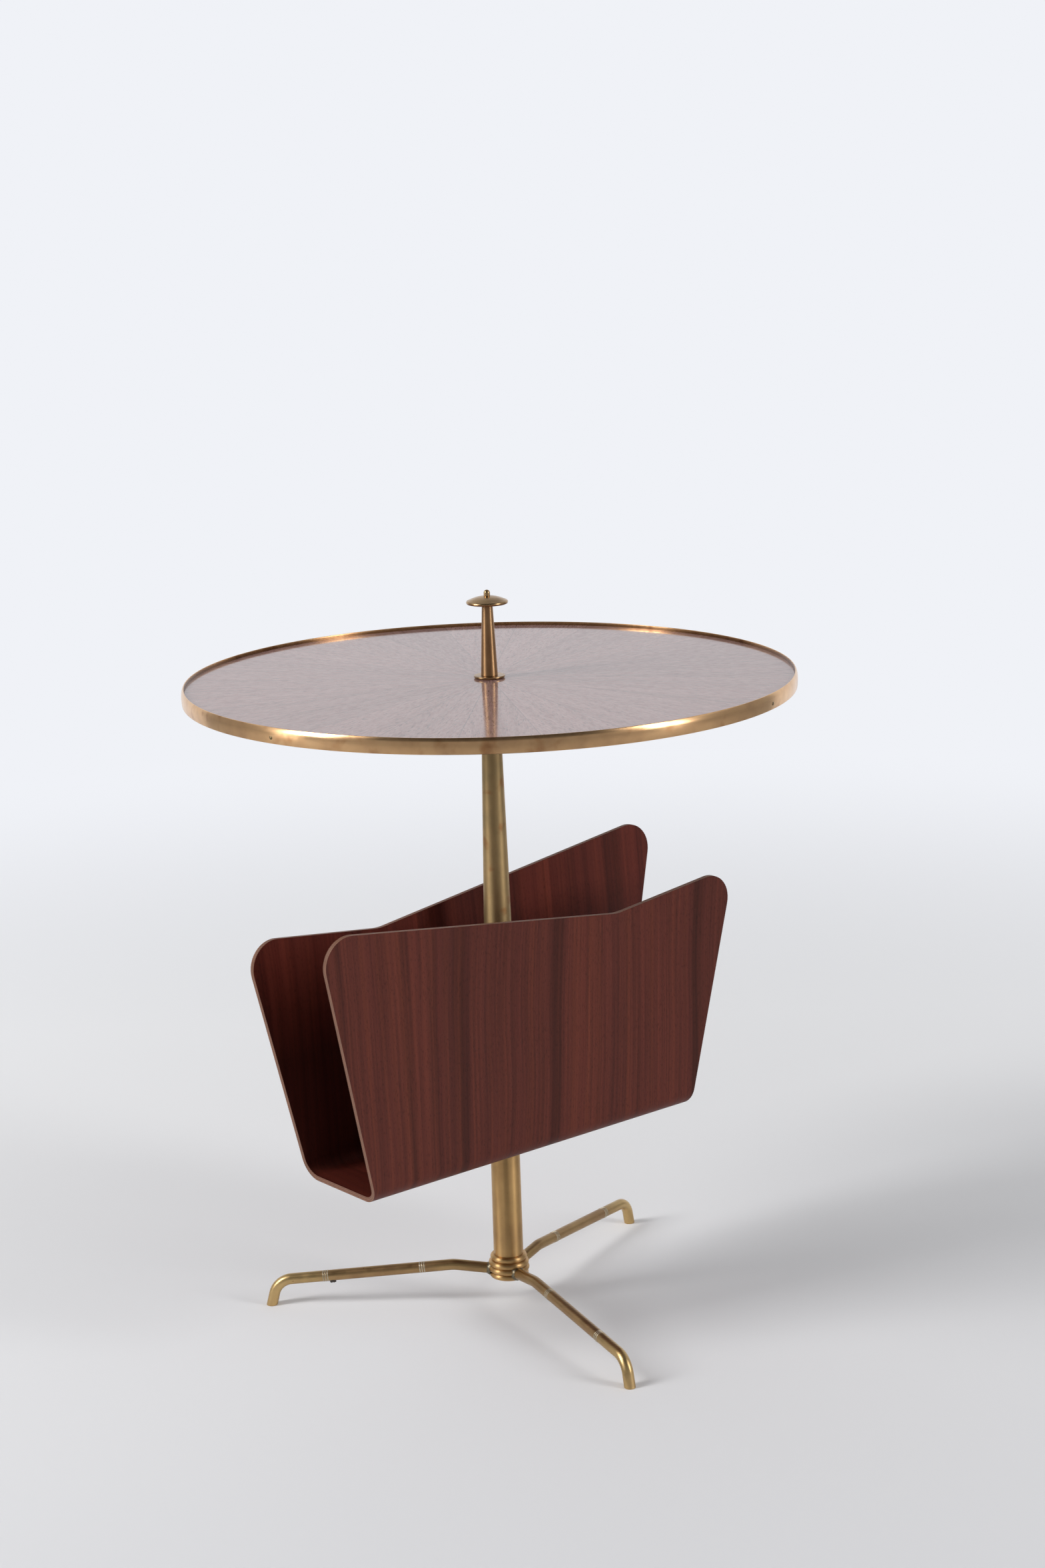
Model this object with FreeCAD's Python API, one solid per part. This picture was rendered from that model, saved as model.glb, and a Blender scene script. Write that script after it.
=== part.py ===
import FreeCAD, Part
import math
import os

from FreeCAD import Vector

# Magazine table with rack: a round tray top, a swivelling plywood rack and three
# bent rod legs, all clamped on one stem. Millimetres and degrees.
# Origin on the floor at the stem's axis, +Z up, the rack's length along X.

# Round top
top_diameter = 500.0
lip_height = 3.0
rim_thickness = 2.5
rim_edge_round = 1.1
veneer_thickness = 0.8
veneer_wedge_count = 24
core_thickness = 8.0
backing_thickness = 0.7

# Pins that hold the rim band to the board
rim_pin_azimuths = (18.0, 104.0, 189.5, 292.2)
rim_pin_diameter = 2.0
rim_pin_length = 12.0
rim_pin_head_diameter = 3.0
rim_pin_head_height = 0.4

# Plate under the top and its screws
flange_diameter = 80.0
flange_thickness = 4.0
flange_screw_count = 4
flange_screw_circle = 56.0
flange_screw_diameter = 3.5
flange_screw_grip_in_core = 5.5
flange_screw_head_diameter = 6.6
flange_screw_head_height = 1.8

# Collar, grip and finial above the top
collar_diameter = 25.4
collar_thickness = 2.2
collar_bevel = 1.0
collar_edge_round = 0.4
grip_length = 58.6
grip_bottom_diameter = 13.8
grip_top_diameter = 8.8
finial_diameter = 34.0
finial_height = 6.6
finial_edge_radius = 1.5
finial_dome_fullness = 0.78
finial_screw_head_diameter = 5.2
finial_screw_head_straight = 2.4
finial_screw_diameter = 3.0
finial_screw_grip_depth = 12.0

# Stem
lower_stem_length = 99.0
lower_stem_bottom_diameter = 25.2
lower_stem_top_diameter = 24.6
upper_stem_length = 377.8
upper_stem_straight_length = 149.0
upper_stem_bottom_diameter = 24.4
upper_stem_top_diameter = 14.9

# Rod that ties the stack together, with its nut and washer in the hub
tie_rod_diameter = 6.0
tie_rod_grip_depth = 30.0
tie_rod_nut_overhang = 1.3
base_nut_across_flats = 10.0
base_nut_height = 5.0
base_washer_diameter = 12.5
base_washer_thickness = 1.2

# Hub of stacked beads
hub_bottom_height = 24.1
hub_bead_pitch = 5.0
hub_bead_diameters = (33.4, 35.0, 34.2, 31.2)
hub_bead_depth = 1.7
hub_counterbore_diameter = 16.0
hub_counterbore_depth = 9.0

# Bent rod legs, measured in the upright plane of each leg
leg_azimuths = {"left": 138.1, "front": 258.1, "back": 18.1}
leg_rod_diameter = 9.3
leg_axis_height = 28.6
leg_rise_angle = 6.8
leg_elbow_reach = 47.0
leg_elbow_bend_radius = 35.0
leg_fall_angle = 4.5
leg_knee_bend_radius = 17.0
foot_reach = 204.4
foot_splay_angle = 14.0
leg_socket_wall = 2.0

# Inlaid rings of each leg, and the set screw under one of them
leg_ring_reaches = (74.0, 157.0)
leg_ring_count = 3
leg_ring_pitch = 1.9
leg_ring_width = 1.0
leg_ring_sink = 0.6
leg_ring_proud = 0.15
set_screw_leg = "left"
set_screw_inset = 5.6
set_screw_diameter = 2.5
set_screw_depth = 4.0
set_screw_head_diameter = 5.4
set_screw_head_height = 2.2
set_screw_slot_width = 0.8
set_screw_slot_depth = 0.5

# Bent plywood rack
rack_ply = 4.0
rack_floor_width = 95.4
rack_floor_length = 341.8
rack_side_flare = 2.4
rack_end_splay = 12.6
rack_bend_outer_radius = 16.0
rack_dip_reach = 83.4
rack_dip_height = 192.2
rack_long_run_angle = 7.8
rack_short_run_angle = 6.7
rack_dip_bend_radius = 45.0
rack_corner_radius = 23.0

# Swivel of the rack on the stem
swivel_bush_diameter = 16.0
friction_washer_diameter = 36.0
friction_washer_thickness = 2.0

# Clearances
running_fit = 0.05
seat_fit = 0.05
rod_bore_clearance = 0.5
swivel_end_play = 0.1
blind_bore_clearance = 0.2
fillet_share_of_wall = 0.45

# Heights of the stack, from the floor up
hub_height = hub_bead_pitch * len(hub_bead_diameters)
hub_top = hub_bottom_height + hub_height
counterbore_top = hub_bottom_height + hub_counterbore_depth
lower_stem_top = hub_top + lower_stem_length
lower_washer_top = lower_stem_top + friction_washer_thickness
rack_bottom = lower_washer_top + swivel_end_play
rack_floor_top = rack_bottom + rack_ply
upper_washer_bottom = rack_floor_top + swivel_end_play
upper_stem_bottom = upper_washer_bottom + friction_washer_thickness
upper_stem_top = upper_stem_bottom + upper_stem_length
flange_top = upper_stem_top + flange_thickness
backing_top = flange_top + backing_thickness
core_top = backing_top + core_thickness
veneer_top = core_top + veneer_thickness
rim_top = veneer_top + lip_height
collar_top = veneer_top + collar_thickness
grip_top = collar_top + grip_length
finial_top = grip_top + finial_height
tie_rod_top = collar_top + tie_rod_grip_depth
base_washer_bottom = counterbore_top - base_washer_thickness
base_nut_bottom = base_washer_bottom - base_nut_height
tie_rod_bottom = base_nut_bottom - tie_rod_nut_overhang

# Shared radii
top_radius = top_diameter / 2
board_radius = top_radius - rim_thickness - seat_fit
tie_rod_radius = tie_rod_diameter / 2
rod_bore_radius = tie_rod_radius + rod_bore_clearance
thread_bore_radius = tie_rod_radius + seat_fit
swivel_bush_radius = swivel_bush_diameter / 2
leg_rod_radius = leg_rod_diameter / 2
hub_counterbore_radius = hub_counterbore_diameter / 2
leg_socket_reach = hub_counterbore_radius + leg_socket_wall

origin = Vector(0, 0, 0)
axis_x = Vector(1, 0, 0)
axis_z = Vector(0, 0, 1)
full_turn = 360.0
quarter_turn = full_turn / 4
hexagon_sides = 6
cubic_mm_in_cubic_cm = 1000


def straight(start, end):
    return Part.LineSegment(start, end).toShape()


def arc(start, through, end):
    return Part.Arc(start, through, end).toShape()


def profile_point(radius, height):
    return Vector(radius, 0, height)


def turned(edges):
    face = Part.Face(Part.Wire(edges))
    return face.revolve(origin, axis_z, full_turn)


def turned_polygon(pairs):
    points = [profile_point(radius, height) for radius, height in pairs]
    points.append(points[0])
    return turned([straight(a, b) for a, b in zip(points, points[1:])])


def ring(inner_radius, outer_radius, bottom, top):
    return turned_polygon([
        (inner_radius, bottom),
        (outer_radius, bottom),
        (outer_radius, top),
        (inner_radius, top),
    ])


def peg(radius, bottom, top):
    return Part.makeCylinder(radius, top - bottom, Vector(0, 0, bottom))


def rounded_path(points, radii):
    # Straight runs joined by tangent arcs; radii holds one bend for each inner point
    edges = []
    start = points[0]
    for corner, following, radius in zip(points[1:], points[2:], radii):
        towards_start = (start - corner).normalize()
        towards_end = (following - corner).normalize()
        half_angle = towards_start.getAngle(towards_end) / 2
        bisector = (towards_start + towards_end).normalize()
        setback = radius / math.tan(half_angle)
        arc_start = corner + towards_start * setback
        arc_end = corner + towards_end * setback
        arc_middle = corner + bisector * (radius / math.sin(half_angle) - radius)
        edges.append(straight(start, arc_start))
        edges.append(arc(arc_start, arc_middle, arc_end))
        start = arc_end
    edges.append(straight(start, points[-1]))
    return edges


def rounded_outline(points, radii):
    # Closed outline; the first point is a sharp corner
    edges = rounded_path(points, radii)
    edges.append(straight(points[-1], points[0]))
    return Part.Face(Part.Wire(edges))


def turn(shape, azimuth):
    copy = shape.copy()
    copy.rotate(origin, axis_z, azimuth)
    return copy


# Legs

leg_elbow_height = leg_axis_height + leg_elbow_reach * math.tan(math.radians(leg_rise_angle))
leg_fall_slope = math.tan(math.radians(leg_fall_angle))
foot_slope = math.tan(math.radians(foot_splay_angle))


def leg_run_height(reach):
    return leg_elbow_height - (reach - leg_elbow_reach) * leg_fall_slope


def leg_points():
    rise_slope = math.tan(math.radians(leg_rise_angle))
    inner_end = profile_point(leg_socket_reach, leg_axis_height + leg_socket_reach * rise_slope)
    elbow = profile_point(leg_elbow_reach, leg_elbow_height)
    # The knee is where the falling run meets the splayed foot
    knee_reach = foot_reach - (leg_elbow_height + leg_elbow_reach * leg_fall_slope) * foot_slope
    knee_reach = knee_reach / (1 - leg_fall_slope * foot_slope)
    knee = profile_point(knee_reach, leg_run_height(knee_reach))
    below_floor = profile_point(foot_reach + leg_rod_radius * foot_slope, -leg_rod_radius)
    return [inner_end, elbow, knee, below_floor]


def leg_run_direction():
    return Vector(1, 0, -leg_fall_slope).normalize()


def leg_ring_places():
    direction = leg_run_direction()
    middle = (leg_ring_count - 1) / 2
    places = []
    for reach in leg_ring_reaches:
        centre = profile_point(reach, leg_run_height(reach))
        for index in range(leg_ring_count):
            places.append(centre + direction * ((index - middle) * leg_ring_pitch))
    return places


def band_on_run(place, width, inner_radius, outer_radius):
    direction = leg_run_direction()
    start = place - direction * (width / 2)
    outer = Part.makeCylinder(outer_radius, width, start, direction)
    return outer.cut(Part.makeCylinder(inner_radius, width, start, direction))


def leg_rings_of_one_leg():
    inner_radius = leg_rod_radius - leg_ring_sink + seat_fit
    outer_radius = leg_rod_radius + leg_ring_proud
    return [band_on_run(place, leg_ring_width, inner_radius, outer_radius) for place in leg_ring_places()]


def set_screw_frame():
    # Middle of the flat filed on the rod's underside, just inboard of the outer rings
    direction = leg_run_direction()
    into_rod = Vector(-direction.z, 0, direction.x)
    reach = leg_ring_reaches[-1]
    on_axis = profile_point(reach, leg_run_height(reach)) - direction * set_screw_inset
    head_radius = set_screw_head_diameter / 2
    flat_depth_from_axis = math.sqrt(leg_rod_radius ** 2 - head_radius ** 2)
    return on_axis - into_rod * flat_depth_from_axis, into_rod, direction


def set_screw():
    seat, into_rod, direction = set_screw_frame()
    head_face = seat - into_rod * set_screw_head_height
    head = Part.makeCylinder(set_screw_head_diameter / 2, set_screw_head_height, head_face, into_rod)
    shank_length = set_screw_head_height + set_screw_depth
    shank = Part.makeCylinder(set_screw_diameter / 2, shank_length, head_face, into_rod)
    across = into_rod.cross(direction)
    corner = head_face - direction * (set_screw_slot_width / 2) - across * set_screw_head_diameter
    slot_outline = Part.makePolygon([
        corner,
        corner + direction * set_screw_slot_width,
        corner + direction * set_screw_slot_width + into_rod * set_screw_slot_depth,
        corner + into_rod * set_screw_slot_depth,
        corner,
    ])
    slot = Part.Face(slot_outline).extrude(across * (2 * set_screw_head_diameter))
    return head.fuse(shank).removeSplitter().cut(slot)


def leg_in_own_plane():
    path = Part.Wire(rounded_path(leg_points(), (leg_elbow_bend_radius, leg_knee_bend_radius)))
    start = leg_points()[0]
    along = (leg_points()[1] - start).normalize()
    section = Part.Wire(Part.makeCircle(leg_rod_radius, start, along))
    rod = path.makePipeShell([section], True, True)
    below = Part.makeBox(2 * foot_reach, 2 * foot_reach, foot_reach,
                         Vector(0, -foot_reach, -foot_reach))
    rod = rod.cut(below)
    groove_width = leg_ring_width + 2 * seat_fit
    groove_depth_radius = leg_rod_radius - leg_ring_sink
    for place in leg_ring_places():
        rod = rod.cut(band_on_run(place, groove_width, groove_depth_radius, leg_rod_diameter))
    return rod


def drilled_for_set_screw(rod):
    seat, into_rod = set_screw_frame()[:2]
    hole_radius = set_screw_diameter / 2 + seat_fit
    rod = rod.cut(Part.makeCylinder(hole_radius, set_screw_depth + blind_bore_clearance, seat, into_rod))
    head_room_radius = set_screw_head_diameter / 2 + seat_fit
    return rod.cut(Part.makeCylinder(head_room_radius, set_screw_head_height, seat, into_rod * -1))


# Base

def hub_outline_edges():
    edges = []
    valley_radii = [hub_bead_diameters[0] / 2 - hub_bead_depth]
    for lower, upper in zip(hub_bead_diameters, hub_bead_diameters[1:]):
        valley_radii.append(min(lower, upper) / 2 - hub_bead_depth)
    valley_radii.append(hub_bead_diameters[-1] / 2 - hub_bead_depth)
    for index, diameter in enumerate(hub_bead_diameters):
        bottom = hub_bottom_height + index * hub_bead_pitch
        top = bottom + hub_bead_pitch
        edges.append(arc(profile_point(valley_radii[index], bottom),
                         profile_point(diameter / 2, bottom + hub_bead_pitch / 2),
                         profile_point(valley_radii[index + 1], top)))
    outer_bottom = profile_point(valley_radii[0], hub_bottom_height)
    outer_top = profile_point(valley_radii[-1], hub_top)
    inner = [
        outer_top,
        profile_point(rod_bore_radius, hub_top),
        profile_point(rod_bore_radius, counterbore_top),
        profile_point(hub_counterbore_radius, counterbore_top),
        profile_point(hub_counterbore_radius, hub_bottom_height),
        outer_bottom,
    ]
    edges.extend(straight(a, b) for a, b in zip(inner, inner[1:]))
    return edges


def hub():
    body = turned(hub_outline_edges())
    inner_end, elbow = leg_points()[:2]
    along = (elbow - inner_end).normalize()
    socket = Part.makeCylinder(leg_rod_radius + seat_fit, leg_elbow_reach, inner_end, along)
    for azimuth in leg_azimuths.values():
        body = body.cut(turn(socket, azimuth))
    return body


def base_washer():
    return ring(rod_bore_radius, base_washer_diameter / 2, base_washer_bottom, counterbore_top)


def base_nut():
    half_side_angle = math.pi / hexagon_sides
    corner_radius = base_nut_across_flats / 2 / math.cos(half_side_angle)
    corners = []
    for side in range(hexagon_sides + 1):
        angle = 2 * side * half_side_angle
        corner = Vector(math.cos(angle), math.sin(angle), 0) * corner_radius
        corners.append(corner + axis_z * base_nut_bottom)
    hexagon = Part.Face(Part.makePolygon(corners)).extrude(axis_z * base_nut_height)
    return hexagon.cut(peg(thread_bore_radius, base_nut_bottom, base_washer_bottom))


def tie_rod():
    return peg(tie_rod_radius, tie_rod_bottom, tie_rod_top)


# Stem and swivel

def stem_lower():
    return turned_polygon([
        (rod_bore_radius, hub_top),
        (lower_stem_bottom_diameter / 2, hub_top),
        (lower_stem_top_diameter / 2, lower_stem_top),
        (rod_bore_radius, lower_stem_top),
    ])


def stem_upper():
    taper_bottom = upper_stem_bottom + upper_stem_straight_length
    return turned_polygon([
        (rod_bore_radius, upper_stem_bottom),
        (upper_stem_bottom_diameter / 2, upper_stem_bottom),
        (upper_stem_bottom_diameter / 2, taper_bottom),
        (upper_stem_top_diameter / 2, upper_stem_top),
        (rod_bore_radius, upper_stem_top),
    ])


def swivel_bush():
    return ring(rod_bore_radius, swivel_bush_radius, lower_stem_top, upper_stem_bottom)


def friction_washer(bottom):
    return ring(swivel_bush_radius + running_fit, friction_washer_diameter / 2,
                bottom, bottom + friction_washer_thickness)


# Rack

def rack_section(wall_top):
    # U of one sheet, seen along X, with both walls up to one height
    lean = math.tan(math.radians(rack_side_flare))
    slant = math.cos(math.radians(rack_side_flare))
    outer_half = rack_floor_width / 2
    inner_half = outer_half - rack_ply / slant

    def outer(side, height):
        return Vector(0, side * (outer_half + (height - rack_bottom) * lean), height)

    def inner(side, height):
        return Vector(0, side * (inner_half + (height - rack_bottom) * lean), height)

    points = [
        outer(-1, wall_top),
        outer(-1, rack_bottom),
        outer(1, rack_bottom),
        outer(1, wall_top),
        inner(1, wall_top),
        inner(1, rack_floor_top),
        inner(-1, rack_floor_top),
        inner(-1, wall_top),
    ]
    bend_inner_radius = rack_bend_outer_radius - rack_ply
    edges = rounded_path(points[:4], (rack_bend_outer_radius, rack_bend_outer_radius))
    edges.append(straight(points[3], points[4]))
    edges.extend(rounded_path(points[4:], (bend_inner_radius, bend_inner_radius)))
    edges.append(straight(points[7], points[0]))
    return Part.Face(Part.Wire(edges))


def rack_panel_outline():
    # Front panel seen along Y: a long run falls to the dip, a short run rises from it
    floor_half = rack_floor_length / 2
    splay = math.tan(math.radians(rack_end_splay))
    long_slope = math.tan(math.radians(rack_long_run_angle))
    short_slope = math.tan(math.radians(rack_short_run_angle))
    dip = Vector(rack_dip_reach, 0, rack_bottom + rack_dip_height)
    # Each upper corner is where the run's line meets the splayed end's line
    long_rise = (floor_half + rack_dip_reach + rack_dip_height * splay) * long_slope
    long_rise = long_rise / (1 - splay * long_slope)
    short_rise = (floor_half - rack_dip_reach + rack_dip_height * splay) * short_slope
    short_rise = short_rise / (1 - splay * short_slope)
    left_top = Vector(-floor_half - (rack_dip_height + long_rise) * splay, 0, dip.z + long_rise)
    right_top = Vector(floor_half + (rack_dip_height + short_rise) * splay, 0, dip.z + short_rise)
    left_bottom = Vector(-floor_half, 0, rack_bottom)
    right_bottom = Vector(floor_half, 0, rack_bottom)
    return rounded_outline([left_bottom, left_top, dip, right_top, right_bottom],
                           (rack_corner_radius, rack_dip_bend_radius, rack_corner_radius))


def rack_shell():
    outline = rack_panel_outline()
    box = outline.BoundBox
    sheet = rack_section(box.ZMax + rack_ply).extrude(axis_x * box.XLength)
    sheet.translate(Vector(box.XMin, 0, 0))
    front = sheet.common(outline.extrude(Vector(0, sheet.BoundBox.YMin - rack_ply, 0)))
    shell = front.fuse(turn(front, full_turn / 2)).removeSplitter()
    return shell.cut(peg(swivel_bush_radius + running_fit, rack_bottom, rack_floor_top))


# Top

def flange_screw_places():
    angles = [index * full_turn / flange_screw_count for index in range(flange_screw_count)]
    radius = flange_screw_circle / 2
    return [Vector(radius * math.cos(math.radians(angle)), radius * math.sin(math.radians(angle)), 0)
            for angle in angles]


def flange_screw(growth):
    # Countersunk screw driven up through the plate; growth makes the hole that it sits in
    shank_radius = flange_screw_diameter / 2 + growth
    head_radius = flange_screw_head_diameter / 2 + growth
    tip = backing_top + flange_screw_grip_in_core + growth
    return turned_polygon([
        (0, upper_stem_top),
        (head_radius, upper_stem_top),
        (shank_radius, upper_stem_top + flange_screw_head_height),
        (shank_radius, tip),
        (0, tip),
    ])


def moved(shape, place):
    copy = shape.copy()
    copy.translate(place)
    return copy


def with_screw_holes(plate):
    for place in flange_screw_places():
        plate = plate.cut(moved(flange_screw(seat_fit), place))
    return plate


def top_flange():
    return with_screw_holes(ring(rod_bore_radius, flange_diameter / 2, upper_stem_top, flange_top))


def top_backing():
    return with_screw_holes(ring(rod_bore_radius, board_radius, flange_top, backing_top))


def rim_pin_height():
    return (backing_top + core_top) / 2


def rim_pin(growth):
    # Nail driven inwards along -X from the rim's outer face
    start = Vector(top_radius - rim_pin_length - growth, 0, rim_pin_height())
    shank_length = rim_pin_length + growth
    return Part.makeCylinder(rim_pin_diameter / 2 + growth, shank_length, start, axis_x)


def rim_pin_with_head():
    base = Vector(top_radius, 0, rim_pin_height())
    crown = Vector(rim_pin_head_height, 0, 0)
    edge = Vector(0, 0, rim_pin_head_diameter / 2)
    dome_edges = [
        straight(base, base + edge),
        arc(base + edge, dome_middle(base), base + crown),
        straight(base + crown, base),
    ]
    head = Part.Face(Part.Wire(dome_edges)).revolve(base, axis_x, full_turn)
    return head.fuse(rim_pin(0)).removeSplitter()


def dome_middle(base):
    # Point half way round the shallow arc from the head's edge to its crown
    edge_radius = rim_pin_head_diameter / 2
    sphere_radius = (edge_radius ** 2 + rim_pin_head_height ** 2) / (2 * rim_pin_head_height)
    half_angle = math.asin(edge_radius / sphere_radius) / 2
    drop = sphere_radius * (1 - math.cos(half_angle))
    return base + Vector(rim_pin_head_height - drop, 0, sphere_radius * math.sin(half_angle))


def with_pin_holes(shape):
    for azimuth in rim_pin_azimuths:
        shape = shape.cut(turn(rim_pin(seat_fit), azimuth))
    return shape


def top_core():
    board = with_screw_holes(ring(rod_bore_radius, board_radius, backing_top, core_top))
    return with_pin_holes(board)


def top_veneer():
    # Radial wedges laid side by side
    wedge_angle = full_turn / veneer_wedge_count
    section = Part.makePolygon([
        profile_point(rod_bore_radius, core_top),
        profile_point(board_radius, core_top),
        profile_point(board_radius, veneer_top),
        profile_point(rod_bore_radius, veneer_top),
        profile_point(rod_bore_radius, core_top),
    ])
    wedge = Part.Face(section).revolve(origin, axis_z, wedge_angle)
    return [turn(wedge, index * wedge_angle) for index in range(veneer_wedge_count)]


def rim_band():
    inner_radius = top_radius - rim_thickness
    band = ring(inner_radius, top_radius, flange_top, rim_top)
    upper_edges = [edge for edge in band.Edges
                   if abs(edge.BoundBox.ZMin - rim_top) < seat_fit and edge.BoundBox.ZLength < seat_fit]
    band = band.makeFillet(min(rim_edge_round, fillet_share_of_wall * rim_thickness), upper_edges)
    return with_pin_holes(band)


# Collar, grip and finial

def collar():
    radius = collar_diameter / 2
    return turned_polygon([
        (rod_bore_radius, veneer_top),
        (radius - collar_bevel, veneer_top),
        (radius, veneer_top + collar_bevel),
        (radius, collar_top - collar_edge_round),
        (radius - collar_edge_round, collar_top),
        (rod_bore_radius, collar_top),
    ])


def grip():
    screw_bore = finial_screw_diameter / 2 + seat_fit
    screw_bore_bottom = grip_top - finial_screw_grip_depth - blind_bore_clearance
    rod_bore_top = tie_rod_top + blind_bore_clearance
    body = turned_polygon([
        (0, collar_top),
        (grip_bottom_diameter / 2, collar_top),
        (grip_top_diameter / 2, grip_top),
        (0, grip_top),
    ])
    body = body.cut(peg(thread_bore_radius, collar_top, rod_bore_top))
    return body.cut(peg(screw_bore, screw_bore_bottom, grip_top))


def finial_disc():
    bore = finial_screw_diameter / 2 + seat_fit
    edge = finial_edge_radius
    shoulder = finial_diameter / 2 - edge
    inner_bottom = profile_point(bore, grip_top)
    outer_bottom = profile_point(shoulder, grip_top)
    outermost = profile_point(finial_diameter / 2, grip_top + edge)
    dome_start = profile_point(shoulder, grip_top + 2 * edge)
    dome_rise = finial_height - 2 * edge
    dome_through = profile_point(shoulder / 2, grip_top + 2 * edge + finial_dome_fullness * dome_rise)
    dome_end = profile_point(bore, finial_top)
    return turned([
        straight(inner_bottom, outer_bottom),
        arc(outer_bottom, outermost, dome_start),
        arc(dome_start, dome_through, dome_end),
        straight(dome_end, inner_bottom),
    ])


def finial_screw():
    shank_bottom = grip_top - finial_screw_grip_depth
    shank = peg(finial_screw_diameter / 2, shank_bottom, finial_top)
    head_radius = finial_screw_head_diameter / 2
    straight_top = finial_top + finial_screw_head_straight
    side = peg(head_radius, finial_top, straight_top)
    tip = Part.makeSphere(head_radius, Vector(0, 0, straight_top), axis_z, 0, quarter_turn, full_turn)
    return shank.fuse([side, tip]).removeSplitter()


def all_nodes():
    leg = leg_in_own_plane()
    rings = leg_rings_of_one_leg()
    board_screws = [moved(flange_screw(0), place) for place in flange_screw_places()]
    pins = [turn(rim_pin_with_head(), azimuth) for azimuth in rim_pin_azimuths]
    nodes = {
        "hub": hub(),
        "base_washer": base_washer(),
        "base_nut": base_nut(),
        "tie_rod": tie_rod(),
        "stem_lower": stem_lower(),
        "friction_washer_lower": friction_washer(lower_stem_top),
        "swivel_bush": swivel_bush(),
        "rack_shell": rack_shell(),
        "friction_washer_upper": friction_washer(upper_washer_bottom),
        "stem_upper": stem_upper(),
        "top_flange": top_flange(),
        "flange_screws": Part.makeCompound(board_screws),
        "top_backing": top_backing(),
        "top_core": top_core(),
        "top_veneer": Part.makeCompound(top_veneer()),
        "rim_band": rim_band(),
        "rim_pins": Part.makeCompound(pins),
        "collar": collar(),
        "grip": grip(),
        "finial_disc": finial_disc(),
        "finial_screw": finial_screw(),
    }
    for name, azimuth in leg_azimuths.items():
        rod = drilled_for_set_screw(leg) if name == set_screw_leg else leg
        nodes["leg_" + name] = turn(rod, azimuth)
        nodes["leg_rings_" + name] = Part.makeCompound([turn(band, azimuth) for band in rings])
    nodes["leg_set_screw"] = turn(set_screw(), leg_azimuths[set_screw_leg])
    return nodes


os.makedirs("parts", exist_ok=True)
for node_name, shape in all_nodes().items():
    shape.exportStep("parts/" + node_name + ".step")
    solids = shape.Solids
    volume = sum(solid.Volume for solid in solids) / cubic_mm_in_cubic_cm
    print(f"{node_name}: {len(solids)} solids, {volume:.2f} cm3, valid {shape.isValid()}")
print(f"overall height {finial_top + finial_screw_head_straight + finial_screw_head_diameter / 2:.1f} mm")
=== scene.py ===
import math

import bmesh
import bpy
from mathutils import Matrix, Vector


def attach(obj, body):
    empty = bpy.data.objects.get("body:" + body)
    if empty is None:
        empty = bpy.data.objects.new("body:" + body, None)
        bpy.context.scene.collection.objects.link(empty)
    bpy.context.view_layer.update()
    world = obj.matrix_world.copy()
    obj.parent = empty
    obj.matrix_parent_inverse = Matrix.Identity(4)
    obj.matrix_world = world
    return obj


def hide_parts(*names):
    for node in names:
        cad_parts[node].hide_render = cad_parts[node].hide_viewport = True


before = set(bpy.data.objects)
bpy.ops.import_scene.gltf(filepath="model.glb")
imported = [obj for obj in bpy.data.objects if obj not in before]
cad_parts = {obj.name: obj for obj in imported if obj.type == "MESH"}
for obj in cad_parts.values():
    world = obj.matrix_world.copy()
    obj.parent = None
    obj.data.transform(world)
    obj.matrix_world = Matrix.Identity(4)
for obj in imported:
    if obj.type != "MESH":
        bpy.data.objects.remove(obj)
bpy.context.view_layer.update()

mm = 0.001
near, loose = 1e-6, 1e-5  # metres: how close points count as one, as drawn and after a cut or a turn
noiseLow, noiseMiddle, noiseHigh = 0.3, 0.5, 0.7  # most of a noise lies between the first and the last
bumpDepth = 0.2 * mm
print("frame loaded:", len(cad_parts), "nodes")


# small helpers for working in edit mode

def startPiece():
    if bpy.context.object and bpy.context.object.mode != "OBJECT":
        bpy.ops.object.mode_set(mode="OBJECT")
    bpy.ops.object.select_all(action="DESELECT")


def onlyPiece(piece):
    startPiece()
    piece.select_set(True)
    bpy.context.view_layer.objects.active = piece


def startLine(name, place):  # a plane merged to one point, which draws a line
    startPiece()
    bpy.ops.mesh.primitive_plane_add(size=0.01)
    piece = bpy.context.object
    piece.name = piece.data.name = name
    bpy.ops.object.mode_set(mode="EDIT")
    bpy.ops.mesh.select_mode(type="VERT")
    bpy.ops.mesh.merge(type="CENTER")
    bpy.ops.transform.translate(value=place)
    return piece


def drawLine(step):
    bpy.ops.mesh.extrude_vertices_move(TRANSFORM_OT_translate={"value": step})


def pick(piece, kind, test):  # kind is VERT, EDGE or FACE
    bpy.ops.mesh.select_mode(type=kind)
    bpy.ops.mesh.select_all(action="DESELECT")
    shape = bmesh.from_edit_mesh(piece.data)
    for item in {"VERT": shape.verts, "EDGE": shape.edges, "FACE": shape.faces}[kind]:
        if test(item):
            item.select_set(True)
    shape.select_flush_mode()
    bmesh.update_edit_mesh(piece.data)


def pickPoints(piece, *places):
    pick(piece, "VERT", lambda point: any((point.co - place).length < near for place in places))


def closeSeams():
    bpy.ops.mesh.select_all(action="SELECT")
    bpy.ops.mesh.remove_doubles(threshold=2 * near)
    bpy.ops.mesh.normals_make_consistent(inside=False)


def slope(degrees):
    return math.tan(math.radians(degrees))


def cornerArc(before, corner, after, radius):  # where a rounded corner starts, its centre and its turn
    back = (before - corner).normalized()
    ahead = (after - corner).normalized()
    half = back.angle(ahead) / 2
    start = corner + back * (radius / math.tan(half))
    end = corner + ahead * (radius / math.tan(half))
    centre = corner + (back + ahead).normalized() * (radius / math.sin(half))
    axis = (start - centre).cross(end - centre).normalized()
    return {"start": start, "end": end, "centre": centre, "axis": axis, "turn": math.pi - 2 * half}


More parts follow.
